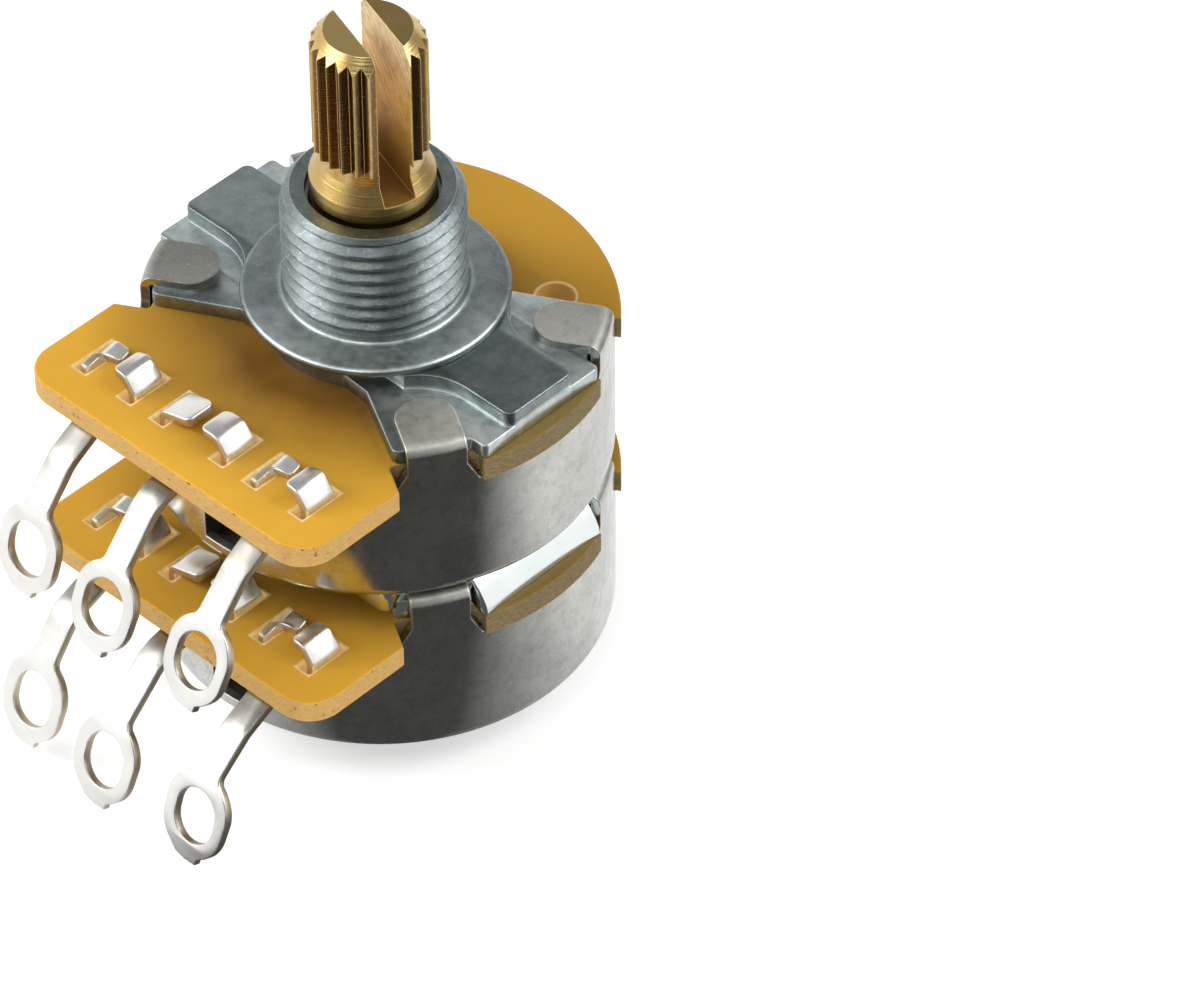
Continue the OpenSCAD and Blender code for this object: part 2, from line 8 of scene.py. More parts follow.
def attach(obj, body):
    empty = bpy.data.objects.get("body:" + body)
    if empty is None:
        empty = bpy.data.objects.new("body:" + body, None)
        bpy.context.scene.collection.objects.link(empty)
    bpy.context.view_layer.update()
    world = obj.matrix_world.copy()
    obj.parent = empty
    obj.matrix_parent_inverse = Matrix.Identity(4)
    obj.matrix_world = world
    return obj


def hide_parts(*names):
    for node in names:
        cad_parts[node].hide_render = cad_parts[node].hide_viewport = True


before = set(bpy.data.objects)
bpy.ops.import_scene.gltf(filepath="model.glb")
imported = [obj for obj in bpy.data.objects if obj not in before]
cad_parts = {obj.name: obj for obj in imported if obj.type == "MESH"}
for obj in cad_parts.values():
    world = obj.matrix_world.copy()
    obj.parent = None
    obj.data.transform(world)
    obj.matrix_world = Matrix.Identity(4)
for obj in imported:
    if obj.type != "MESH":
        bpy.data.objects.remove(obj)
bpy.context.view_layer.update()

# Shaft: turned from brass bar, knurled, chamfered, and split by a slitting saw. The turned
# faces are bright with fine rings. The knurl's grooves are brown with dirt and painted shade,
# and the saw cut is tarnished, with painted shade deep down, painted light towards the top
# and a painted glow in between.
MM = 0.001
KNURL_R, KNURL_Z = 2.95, 9.2
SLOT_TURN, SLOT_HALF, SLOT_Z = math.radians(18), 0.87, 7.4
SAW_CENTRE = (-14.0, 0.0, -1.0)


def colour(text):
    parts = [int(text[i:i + 2], 16) / 255 for i in (1, 3, 5)]
    return [p / 12.92 if p <= 0.04045 else ((p + 0.055) / 1.055) ** 2.4 for p in parts] + [1.0]


def add(tree, kind, take=0, setup=None, **links):
    made = tree.nodes.new("ShaderNode" + kind)
    for key, value in (setup or {}).items():
        setattr(made, key, value)
    for key, value in links.items():
        numbered = key[0] == "i" and key[1:].isdigit()
        socket = made.inputs[int(key[1:]) if numbered else key.replace("_", " ")]
        if isinstance(value, bpy.types.NodeSocket):
            tree.links.new(value, socket)
        else:
            socket.default_value = value
    return made.outputs[take] if len(made.outputs) else made


def start(name):
    material = bpy.data.materials.new(name)
    material.use_nodes = True
    material.node_tree.nodes.clear()
    return material, material.node_tree, add(material.node_tree, "TexCoord", "Object")


def grain(tree, coords, size_mm, low=0.35, high=0.65, stretch=(1, 1, 1), detail=3.0):
    at = add(tree, "Mapping", Vector=coords, Scale=[s / (size_mm * MM) for s in stretch])
    fac = add(tree, "TexNoise", Vector=at, Scale=1.0, Detail=detail, Roughness=0.55)
    return add(tree, "MapRange", Value=fac, From_Min=low, From_Max=high)


def tint(tree, share, a, b):
    a = colour(a) if isinstance(a, str) else a
    b = colour(b) if isinstance(b, str) else b
    return add(tree, "Mix", 2, {"data_type": "RGBA"}, i0=share, i6=a, i7=b)


# Lighter edges from a Bevel normal mask: edge wear and painted edge highlight.
def edge_wear_and_highlight(tree, radius_mm):
    rounded_normal = add(tree, "Bevel", setup={"samples": 8}, Radius=radius_mm * MM)
    flat_normal = add(tree, "NewGeometry", "Normal")
    same = add(
        tree, "VectorMath", 1, {"operation": "DOT_PRODUCT"}, i0=rounded_normal, i1=flat_normal,
    )
    return rounded_normal, add(tree, "MapRange", Value=same, From_Min=0.995, From_Max=0.9)


def finish(tree, base, roughness, height, depth_mm, normal=None, metallic=1.0, **more):
    links = {"Normal": normal} if normal else {}
    bump = add(tree, "Bump", Strength=1.0, Distance=depth_mm * MM, Height=height, **links)
    shader = add(
        tree, "BsdfPrincipled", Base_Color=base, Metallic=metallic, Roughness=roughness,
        Normal=bump, **more,
    )
    add(tree, "OutputMaterial", Surface=shader)


def dress(piece, material):
    piece.data.materials.clear()
    piece.data.materials.append(material)


brass, tree, coords = start("brass_turned")
height_z = add(tree, "SeparateXYZ", "Z", Vector=coords)
round_only = add(tree, "VectorMath", setup={"operation": "MULTIPLY"}, i0=coords, i1=(1, 1, 0))
radius = add(tree, "VectorMath", 1, {"operation": "LENGTH"}, i0=round_only)
upright = add(tree, "SeparateXYZ", "Z", Vector=add(tree, "NewGeometry", "Normal"))
steep = add(tree, "Math", setup={"operation": "ABSOLUTE"}, i0=upright)
upright = add(tree, "MapRange", Value=steep, From_Min=0.3, From_Max=0.1)
# Knurl grooves: below the crests, above the neck, on upright faces only. Their brown
# is dirt and painted shade.
deep = add(
    tree, "MapRange", Value=radius, From_Min=(KNURL_R - 0.03) * MM, From_Max=(KNURL_R - 0.13) * MM,
)
above = add(
    tree, "MapRange", Value=height_z, From_Min=(KNURL_Z - 0.05) * MM,
    From_Max=(KNURL_Z + 0.05) * MM,
)
groove = add(tree, "Math", setup={"operation": "MULTIPLY"}, i0=deep, i1=above)
groove = add(tree, "Math", setup={"operation": "MULTIPLY"}, i0=groove, i1=upright)
# Saw cut: within half its width of the middle plane and above its floor.
across = add(
    tree, "VectorMath", 1, {"operation": "DOT_PRODUCT"}, i0=coords,
    i1=(math.sin(SLOT_TURN), math.cos(SLOT_TURN), 0),
)
rear_half = add(tree, "Math", setup={"operation": "GREATER_THAN"}, i0=across, i1=0.0)
across = add(tree, "Math", setup={"operation": "ABSOLUTE"}, i0=across)
across = add(
    tree, "MapRange", Value=across, From_Min=(SLOT_HALF + 0.02) * MM, From_Max=SLOT_HALF * MM,
)
in_slot = add(tree, "MapRange", Value=height_z, From_Min=(SLOT_Z - 0.02) * MM, From_Max=SLOT_Z * MM)
in_slot = add(tree, "Math", setup={"operation": "MULTIPLY"}, i0=in_slot, i1=across)
# Painted shade and light in the saw cut: darker deep down, lighter towards the top.
painted_slot_shade = add(tree, "MapRange", Value=height_z, From_Min=8.5 * MM, From_Max=12.5 * MM)
painted_slot_light = add(tree, "MapRange", Value=height_z, From_Min=12.8 * MM, From_Max=16.0 * MM)
saw = add(tree, "VectorMath", setup={"operation": "MULTIPLY"}, i0=coords, i1=(1, 0, 1))
saw = add(tree, "VectorMath", 1, {"operation": "DISTANCE"}, i0=saw, i1=[c * MM for c in SAW_CENTRE])
patchy = grain(tree, coords, 1.6)
saw = grain(tree, add(tree, "CombineXYZ", X=saw), 0.16, 0.35, 0.65)
sawn = tint(tree, painted_slot_shade, "#8a6826", "#e6ba66")
sawn = tint(tree, painted_slot_light, sawn, "#ecdcb6")
streak = add(
    tree, "Math", setup={"operation": "MULTIPLY"}, i0=saw,
    i1=add(tree, "MapRange", Value=patchy, To_Min=0.45, To_Max=1.0),
)
sawn = tint(tree, streak, sawn, "#8a5e22")
tarnish = add(
    tree, "Math", setup={"operation": "MULTIPLY"}, i0=grain(tree, coords, 0.7, 0.45, 0.7), i1=0.45,
)
sawn = tint(tree, tarnish, sawn, "#8a6430")
rings = grain(tree, add(tree, "CombineXYZ", Z=height_z), 0.09, 0.3, 0.7)
stain = grain(tree, coords, 1.2)
rounded_normal, wear_and_highlight = edge_wear_and_highlight(tree, 0.06)
# Painted shade: the knurl's upright faces are a little darker.
knurled = add(tree, "Math", setup={"operation": "MULTIPLY"}, i0=above, i1=upright)
knurled = add(tree, "Math", setup={"operation": "MULTIPLY"}, i0=knurled, i1=0.15)
base = tint(tree, stain, "#e0c585", "#d2b26e")
# Painted shade: the plain turned band under the chamfer is darker.
land_painted_shade = add(tree, "MapRange", Value=height_z, From_Min=6.98 * MM, From_Max=6.9 * MM)
land_painted_shade = add(tree, "Math", setup={"operation": "MULTIPLY"}, i0=land_painted_shade, i1=0.8)
base = tint(tree, land_painted_shade, base, "#8e7236")
# Painted shade: the chamfer under the knurl is a little darker; the same mask deepens its turning
# rings.
cone_painted_shade = add(tree, "MapRange", Value=height_z, From_Min=8.45 * MM, From_Max=8.35 * MM, To_Max=0.35)
base = tint(tree, cone_painted_shade, base, "#b08c48")
base = tint(tree, knurled, base, "#806438")
# Dirt and painted shade: the knurl's grooves are darker brown.
base = tint(tree, groove, base, "#7c5c36")
end_face = add(tree, "MapRange", Value=steep, From_Min=0.97, From_Max=0.99)
end_face = add(
    tree, "Math", setup={"operation": "MULTIPLY"}, i0=end_face,
    i1=add(tree, "MapRange", Value=rear_half, To_Min=0.45),
)
end_face = add(tree, "Math", setup={"operation": "MULTIPLY"}, i0=end_face, i1=above)
base = tint(tree, end_face, base, "#a08656")
dust = grain(tree, coords, 0.1, 0.6, 0.68, detail=2.0)
dust = add(tree, "Math", setup={"operation": "MULTIPLY"}, i0=dust, i1=groove)
base = tint(
    tree, add(tree, "Math", setup={"operation": "MULTIPLY"}, i0=dust, i1=0.7), base, "#d4b478",
)
base = tint(tree, in_slot, base, sawn)
# Edge wear and painted edge highlight.
base = tint(tree, wear_and_highlight, base, "#e8c47c")
rough = add(tree, "MapRange", Value=stain, To_Min=0.2, To_Max=0.28)
rough = add(
    tree, "Math", setup={"operation": "MAXIMUM"}, i0=rough,
    i1=add(tree, "Math", setup={"operation": "MULTIPLY"}, i0=in_slot, i1=0.5),
)
marks = add(tree, "Mix", setup={"data_type": "FLOAT"}, i0=in_slot, i2=rings, i3=saw)
solid = add(tree, "MapRange", Value=in_slot, To_Min=1.0, To_Max=0.35)
# Painted highlight: the knurl's edges are less metallic, so they read bright.
crest = add(tree, "Math", setup={"operation": "MULTIPLY"}, i0=wear_and_highlight, i1=above)
solid = add(
    tree, "Math", setup={"operation": "MULTIPLY"}, i0=solid,
    i1=add(tree, "MapRange", Value=crest, To_Min=1.0, To_Max=0.45),
)
# Painted glow: the saw cut's walls emit their colour, most at mid height.
painted_slot_glow = add(
    tree, "MapRange", Value=height_z, From_Min=7.4 * MM, From_Max=12.0 * MM, To_Min=0.0,
    To_Max=0.24,
)
painted_slot_glow = add(tree, "Math", setup={"operation": "MULTIPLY"}, i0=painted_slot_glow, i1=in_slot)
painted_slot_glow = add(
    tree, "Math", setup={"operation": "MULTIPLY"}, i0=painted_slot_glow,
    i1=add(tree, "MapRange", Value=painted_slot_light, To_Min=1.0, To_Max=0.1),
)
turned_deeper = add(tree, "MapRange", Value=cone_painted_shade, From_Max=0.35, To_Min=1.0, To_Max=1.6)
marks = add(tree, "Math", setup={"operation": "MULTIPLY"}, i0=marks, i1=turned_deeper)
finish(
    tree, base, rough, marks, 0.009, rounded_normal, solid, Emission_Color=sawn,
    Emission_Strength=painted_slot_glow,
)
dress(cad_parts["shaft"], brass)


# Retaining ring: blued spring steel, snapped into the shaft's groove under the plate. The
# same stamped or rolled metal, with other tints and grain, serves the later pieces.
FRONT_WAY = (0.69, -0.72, 0)


def metal(
    name, light, dark, rough, grain_mm, depth_mm, edge="#f2f2ee", stretch=(1, 1, 1), edge_mm=0.07,
    scratches=0.0, top=0.0, tabs=None,
):
    material, tree, coords = start(name)
    cloud = grain(tree, coords, 2.5)
    fine = grain(tree, coords, grain_mm, 0.3, 0.7, stretch)
    scratch = grain(tree, coords, 0.45, 0.64, 0.7, (1, 14, 3), 2.0)
    rounded_normal, wear_and_highlight = edge_wear_and_highlight(tree, edge_mm)
    base = tint(tree, cloud, light, dark)
    base = tint(
        tree, add(tree, "Math", setup={"operation": "MULTIPLY"}, i0=scratch, i1=scratches), base,
        edge,
    )
    # Edge wear and painted edge highlight.
    base = tint(
        tree, add(tree, "Math", setup={"operation": "MULTIPLY"}, i0=wear_and_highlight, i1=0.7), base, edge,
    )
    roughness = add(tree, "MapRange", Value=fine, To_Min=rough - 0.04, To_Max=rough + 0.06)
    upward = add(tree, "SeparateXYZ", "Z", Vector=rounded_normal)
    upward = add(tree, "MapRange", Value=upward, From_Min=0.3, From_Max=0.9)
    if tabs:
        # Painted reflection: upward faces run from a darker tone at the left to a lighter one at the
        # front.
        along_front = add(
            tree, "VectorMath", 1, {"operation": "DOT_PRODUCT"}, i0=coords, i1=FRONT_WAY,
        )
        along_front = add(
            tree, "MapRange", Value=along_front, From_Min=-3.0 * MM, From_Max=9.0 * MM,
        )
        base = tint(tree, upward, base, tint(tree, along_front, *tabs))
        speck = add(
            tree, "Math", setup={"operation": "MULTIPLY"}, i0=grain(tree, coords, 0.16, 0.56, 0.7),
            i1=0.25,
        )
        base = tint(tree, speck, base, edge)
        stain = add(
            tree, "Math", setup={"operation": "MULTIPLY"}, i0=grain(tree, coords, 0.6, 0.5, 0.75),
            i1=0.35,
        )
        base = tint(tree, stain, base, "#8c8a84")
    facing = add(tree, "MapRange", Value=upward, To_Max=top)
    roughness = add(tree, "Math", setup={"operation": "ADD"}, i0=roughness, i1=facing)
    swell = add(tree, "MapRange", Value=facing, To_Min=0.6, To_Max=5.0)
    relief = add(tree, "Math", setup={"operation": "MULTIPLY"}, i0=fine, i1=swell)
    finish(tree, base, roughness, relief, depth_mm, rounded_normal)
    return material


dress(
    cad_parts["retaining_ring"],
    metal("steel_spring_blued", "#5c5f63", "#4b4e52", 0.35, 0.3, 0.004),
)


# Bushing plate: one zinc die casting, satin plated. The bushing carries a right-hand 3/8-32
# thread that runs out above the round flange; pads and bow-tie lobes lie behind it.
def rounded(corners, closed=True, steps=6):
    points = []
    count = len(corners)
    for i, corner in enumerate(corners):
        here = Vector(corner[:2])
        radius = corner[2] if len(corner) > 2 else 0
        if radius <= 0 or (not closed and i in (0, count - 1)):
            points.append(here)
            continue
        a = (Vector(corners[i - 1][:2]) - here).normalized()
        b = (Vector(corners[(i + 1) % count][:2]) - here).normalized()
        half = a.angle(b) / 2
        if half > math.pi / 2 - 0.01:
            points.append(here)
            continue
        reach = radius / math.tan(half)
        centre = here + (a + b).normalized() * (radius / math.sin(half))
        p, q = here + a * reach - centre, here + b * reach - centre
        sweep = p.angle_signed(q)
        for k in range(steps + 1):
            turn = -sweep * k / steps
            c, s = math.cos(turn), math.sin(turn)
            points.append(centre + Vector((p.x * c - p.y * s, p.x * s + p.y * c)))
    return points


def ring(x, y, radius, first=0, last=360, steps=48):
    whole = abs(last - first) >= 360
    count = steps + (0 if whole else 1)
    angles = [math.radians(first + (last - first) * k / steps) for k in range(count)]
    return [Vector((x + radius * math.cos(a), y + radius * math.sin(a))) for a in angles]


def slab(outline, holes, low, high, edge=0.06):
    curve = bpy.data.curves.new("sheet", "CURVE")
    curve.dimensions = "2D"
    curve.fill_mode = "BOTH"
    for loop in [outline] + holes:
        spline = curve.splines.new("POLY")
        spline.points.add(len(loop) - 1)
        spline.use_cyclic_u = True
        for point, at in zip(spline.points, loop):
            point.co = (at[0], at[1], 0, 1)
    curve.extrude = (high - low) / 2 - edge
    curve.bevel_depth = edge
    curve.bevel_resolution = 1
    curve.offset = -edge
    holder = bpy.data.objects.new("sheet", curve)
    mesh = bpy.data.meshes.new_from_object(holder)
    made = bmesh.new()
    made.from_mesh(mesh)
    bmesh.ops.remove_doubles(made, verts=made.verts, dist=0.0005)
    bmesh.ops.translate(made, verts=made.verts, vec=(0, 0, (low + high) / 2))
    for face in made.faces:
        face.material_index = int(abs(face.normal.z) < 0.3)
    bpy.data.objects.remove(holder)
    bpy.data.curves.remove(curve)
    bpy.data.meshes.remove(mesh)
    return made


def lathe(profile, steps=96):
    made = bmesh.new()
    rows = []
    turns = [2 * math.pi * k / steps for k in range(steps)]
    for r, z in profile:
        rows.append([made.verts.new((r * math.cos(a), r * math.sin(a), z)) for a in turns])
    for low, high in zip(rows, rows[1:]):
        for k in range(steps):
            n = (k + 1) % steps
            made.faces.new((low[k], low[n], high[n], high[k]))
    return made


def place_piece(name, parts, body, material, stands_for=None, sharp=40, cut=None):
    whole = bmesh.new()
    for part in parts:
        bmesh.ops.recalc_face_normals(part, faces=part.faces)
        mesh = bpy.data.meshes.new("part")
        part.to_mesh(mesh)
        whole.from_mesh(mesh)
        bpy.data.meshes.remove(mesh)
        part.free()
    bmesh.ops.scale(whole, verts=whole.verts, vec=(MM, MM, MM))
    for edge in whole.edges:
        edge.smooth = edge.calc_face_angle(0) < math.radians(sharp)
    for face in whole.faces:
        face.smooth = True
        face.material_index = face.material_index if cut else 0
    mesh = bpy.data.meshes.new(name)
    whole.to_mesh(mesh)
    whole.free()
    piece = bpy.data.objects.new(name, mesh)
    bpy.context.scene.collection.objects.link(piece)
    mesh.materials.append(material)
    if cut:
        mesh.materials.append(cut)
    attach(piece, body)
    if stands_for:
        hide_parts(stands_for)


THREAD_R, THREAD_PITCH, THREAD_DEPTH, THREAD_START = 4.73, 0.8, 0.42, 0.3
BUSHING_TOP, MOUTH_R, BORE_R, SKIRT_R = 6.4, 3.43, 3.25, 5.8
FLANGE_R, FLANGE_T, PLATE_Z, LOBE_Z = 6.9, 0.43, -2.16, -1.3
PLATE_HALF, PAD_HALF, PAD_FILLET, PAD_CORNER = 11.65, 2.3, 3.4, 0.5
LOBE_R, LOBE_END, LOBE_HALF = 11.45, PLATE_HALF + 0.04, 4.1
CREST_ANGLE = math.radians(-46.3)


# The groove deepens from a flat crest and fades in above the flange; the mouth is chamfered.
def thread_radius(angle, z):
    phase = (z / THREAD_PITCH - (angle - CREST_ANGLE) / (2 * math.pi)) % 1
    off = min(phase, 1 - phase) * 2
    depth = min(max((off - 0.08) / 0.82, 0), 1)
    fade = min(max((z - 0.35) / 0.5, 0), 1)
    radius = THREAD_R - THREAD_DEPTH * depth * fade
    return min(radius, THREAD_R - max(z - 5.75, 0) * 0.76 - max(z - 6.12, 0) * 0.13)


def threaded():
    made = bmesh.new()
    steps, rows = 128, []
    count = 150
    for j in range(count + 1):
        z = THREAD_START + (BUSHING_TOP - THREAD_START) * j / count
        rows.append([made.verts.new((
            thread_radius(a, z) * math.cos(a), thread_radius(a, z) * math.sin(a), z,
        )) for a in (2 * math.pi * k / steps for k in range(steps))])
    for low, high in zip(rows, rows[1:]):
        for k in range(steps):
            made.faces.new((low[k], low[(k + 1) % steps], high[(k + 1) % steps], high[k]))
    return made


flange = [
    (THREAD_R, 0.32), (4.76, 0.2), (4.83, 0.1), (4.95, 0.03), (5.1, 0.0), (6.62, 0.0),
    (6.74, -0.02), (6.84, -0.08), (FLANGE_R, -0.18), (FLANGE_R, -0.3), (6.86, -0.38),
    (6.78, -FLANGE_T), (SKIRT_R, -FLANGE_T), (SKIRT_R, PLATE_Z),
]
mouth = [
    (4.2, BUSHING_TOP), (4.14, BUSHING_TOP), (3.5, BUSHING_TOP), (3.44, 6.39), (MOUTH_R, 6.3),
    (MOUTH_R, 5.8), (BORE_R, 5.78), (BORE_R, PLATE_Z), (SKIRT_R, PLATE_Z),
]


def four_ways(quarter):
    right = [Vector((x, -y)) for x, y in reversed(quarter)] + [Vector((x, y)) for x, y in quarter]
    return right + [Vector((-x, -y)) for x, y in right]


def on_lobe(degrees):
    return LOBE_R * math.cos(math.radians(degrees)), LOBE_R * math.sin(math.radians(degrees))


fillet_y = PAD_HALF + PAD_FILLET
fillet_x = math.sqrt((FLANGE_R + PAD_FILLET) ** 2 - fillet_y ** 2)
meet = 180 + math.degrees(math.atan2(fillet_y, fillet_x))
pad = ring(PLATE_HALF - PAD_CORNER, PAD_HALF - PAD_CORNER, PAD_CORNER, 0, 90, 6)
pad += ring(fillet_x, fillet_y, PAD_FILLET, 270, meet, 14)
slope = math.tan(math.radians(29))
lobe = rounded([
    (LOBE_END, -LOBE_HALF), (LOBE_END, LOBE_HALF, 0.3), (10.72, LOBE_HALF, 0.15),
    (*on_lobe(26), 11), (*on_lobe(33), 11), (*on_lobe(41.1), 0.45),
    (4.5, 2.75 + 4.5 * slope, 0), (0.2, 4.9),
], closed=False)[1:]
zinc, tree, coords = start("zinc_diecast_satin_plated")
cloud = grain(tree, coords, 2.5)
fine = grain(tree, coords, 0.35, 0.3, 0.7)
scratch = grain(tree, coords, 0.45, 0.64, 0.7, (1, 14, 3), 2.0)
rounded_normal, wear_and_highlight = edge_wear_and_highlight(tree, 0.07)
high = add(tree, "SeparateXYZ", "Z", Vector=coords)
# Painted light and shade: the lobes' front and the flange's front lighter, the flange top,
# pads and thread darker.
low_faces = add(tree, "MapRange", Value=high, From_Min=-1.1 * MM, From_Max=-1.2 * MM)
toward_front = add(tree, "VectorMath", 1, {"operation": "DOT_PRODUCT"}, i0=coords, i1=FRONT_WAY)
nearer = add(tree, "MapRange", Value=toward_front, From_Min=1.0 * MM, From_Max=5.8 * MM)
on_top = add(tree, "Math", setup={"operation": "COMPARE"}, i0=high, i1=0.0, i2=0.1 * MM)
nearer = add(tree, "Math", setup={"operation": "MULTIPLY"}, i0=nearer, i1=on_top)
front_side = add(
    tree, "MapRange", Value=toward_front, From_Min=4.0 * MM, From_Max=9.0 * MM, To_Min=0.25,
    To_Max=1.0,
)
low_faces = add(tree, "Math", setup={"operation": "MULTIPLY"}, i0=low_faces, i1=front_side)
beside_tab = add(tree, "SeparateXYZ", "Y", Vector=coords)
beside_tab = add(tree, "MapRange", Value=beside_tab, From_Min=-6.2 * MM, From_Max=-4.6 * MM)
low_faces = add(tree, "Math", setup={"operation": "MULTIPLY"}, i0=low_faces, i1=beside_tab)
painted_front_light = add(tree, "Math", setup={"operation": "MAXIMUM"}, i0=low_faces, i1=nearer)
pads = add(tree, "Math", setup={"operation": "COMPARE"}, i0=high, i1=-0.45 * MM, i2=0.12 * MM)
blotch = grain(tree, coords, 0.9, 0.4, 0.75)
base = tint(tree, cloud, "#a4aeae", "#8a9495")
# Painted shade on the flange top.
base = tint(
    tree, add(tree, "Math", setup={"operation": "MULTIPLY"}, i0=on_top, i1=0.4), base, "#768082",
)
base = tint(tree, painted_front_light, base, "#eef8f6")
thread_painted_shade = add(tree, "MapRange", Value=high, From_Min=0.3 * MM, From_Max=0.8 * MM, To_Max=0.5)
base = tint(tree, thread_painted_shade, base, "#5f696b")
speck = grain(tree, coords, 0.14, 0.55, 0.7)
base = tint(
    tree, add(tree, "Math", setup={"operation": "MULTIPLY"}, i0=speck, i1=0.3), base, "#d5dcda",
)
# Painted shade on the pads.
base = tint(
    tree, add(tree, "Math", setup={"operation": "MULTIPLY"}, i0=pads, i1=0.6), base, "#6f797a",
)
base = tint(
    tree, add(tree, "Math", setup={"operation": "MULTIPLY"}, i0=blotch, i1=0.5), base, "#5c6665",
)
base = tint(
    tree, add(tree, "Math", setup={"operation": "MULTIPLY"}, i0=scratch, i1=0.25), base, "#d5dcda",
)
# Edge wear and painted edge highlight.
base = tint(
    tree, add(tree, "Math", setup={"operation": "MULTIPLY"}, i0=wear_and_highlight, i1=0.7), base, "#dfe6e4",
)
roughness = add(tree, "MapRange", Value=fine, To_Min=0.32, To_Max=0.42)
finish(tree, base, roughness, fine, 0.003, rounded_normal)
place_piece("bushing_plate_cast", [
    threaded(), lathe(flange), lathe(mouth),
    slab(four_ways(pad), [], PLATE_Z, -FLANGE_T, 0.14),
    slab(four_ways(lobe), [], PLATE_Z + 0.005, LOBE_Z, 0.12),
], "housing", zinc, "bushing_plate", 35)

# Wafers: punched paper-phenolic board, amber, glossy and translucent. Painted light makes it
# pale where light would come through the overhanging end and the open back, and painted
# shade makes it brown where the closed cup backs it.
PITCH, WAFER_TOP, WAFER_BOTTOM, WAFER_R = 10.7, -2.16, -3.5, 12.4
BOARD_BORE_R, PEEPHOLE, PEEPHOLE_R = 5.0, (5.73, 7.11), 1.0
TABS = (30.5, 149.5, 210.5, 329.5)
NOTCH_HALF, NOTCH_R, SHOULDER_R = 2.3, 11.29, 13.19
END_X, END_Y, END_CORNER, END_ROOT = 10.2, -15.35, 2.0, -12
TERMINAL_PITCH, SPANS = 6.1, {-1: 2.0, 0: 2.5, 1: 2.0}
PUNCH_IN, PUNCH_HALF, PUNCH_Y, PUNCH_CORNER = 0.37, 0.42, (-13.35, -10.75), 0.12


def turned(x, y, degrees):
    a = math.radians(degrees)
    return (x * math.cos(a) - y * math.sin(a), x * math.sin(a) + y * math.cos(a))


def wafer_outline():
    lip = math.sqrt(WAFER_R ** 2 - NOTCH_HALF ** 2)
    swing = math.degrees(math.asin(NOTCH_HALF / WAFER_R))
    shoulder = turned(SHOULDER_R, NOTCH_HALF, TABS[2])
    end = [
        (-END_X, END_ROOT), (-END_X, END_Y, END_CORNER), (END_X, END_Y, END_CORNER),
        (END_X, END_ROOT),
    ]
    points = []
    for k, a in enumerate(TABS):
        into = [turned(lip, -NOTCH_HALF, a), turned(NOTCH_R, -NOTCH_HALF, a)]
        out = [turned(NOTCH_R, NOTCH_HALF, a), turned(lip, NOTCH_HALF, a)]
        if k == 2:
            out[1] = shoulder
        if k == 3:
            into[0] = (-shoulder[0], shoulder[1])
            points += rounded(end, False, 10)
        points += rounded([into[0], (*into[1], 0.25), (*out[0], 0.25), out[1]], False, 3)
        if k in (0, 1, 3):
            last = (TABS + (390.5,))[k + 1] - swing
            points += ring(0, 0, WAFER_R, a + swing, last, 40)[1:-1]
    return points


phenolic, tree, coords = start("phenolic_board_punched")
round_only = add(tree, "VectorMath", setup={"operation": "MULTIPLY"}, i0=coords, i1=(1, 1, 0))
radius = add(tree, "VectorMath", 1, {"operation": "LENGTH"}, i0=round_only)
# Painted light and shade: darker near the middle, lighter outward and towards the back.
lit = add(tree, "MapRange", Value=radius, From_Min=7.4 * MM, From_Max=15.0 * MM)
open_back = add(tree, "SeparateXYZ", "Y", Vector=coords)
open_back = add(
    tree, "MapRange", Value=open_back, From_Min=2.0 * MM, From_Max=8.0 * MM, To_Max=0.62,
)
lit = add(tree, "Math", setup={"operation": "MAXIMUM"}, i0=lit, i1=open_back)
cloud = grain(tree, coords, 5.0)
face = tint(tree, lit, "#6a4a1c", "#d2a136")
face = tint(
    tree, add(tree, "Math", setup={"operation": "MULTIPLY"}, i0=cloud, i1=0.25), face, "#c08c30",
)
fibre = grain(tree, coords, 0.3, 0.35, 0.65, (1, 1, 5), 5.0)
cut = tint(tree, fibre, "#cea868", "#b68e4e")
# Painted shade: the round cut edge, seen in the cup's windows, is greyer and darker.
window = add(tree, "MapRange", Value=radius, From_Min=12.55 * MM, From_Max=12.5 * MM)
cut = tint(tree, window, cut, tint(tree, fibre, "#93805a", "#766648"))
cut = tint(tree, grain(tree, coords, 0.3, 0.67, 0.72, detail=2.0), cut, "#6d4c22")
upright = add(tree, "SeparateXYZ", "Z", Vector=add(tree, "NewGeometry", "Normal"))
flat = add(
    tree, "MapRange", Value=add(tree, "Math", setup={"operation": "ABSOLUTE"}, i0=upright),
    From_Min=0.5, From_Max=0.9,
)
rough = add(tree, "MapRange", Value=flat, To_Min=0.6, To_Max=0.28)
relief = add(
    tree, "Math", setup={"operation": "MULTIPLY"}, i0=fibre,
    i1=add(tree, "MapRange", Value=flat, To_Min=1.0, To_Max=0.03),
)
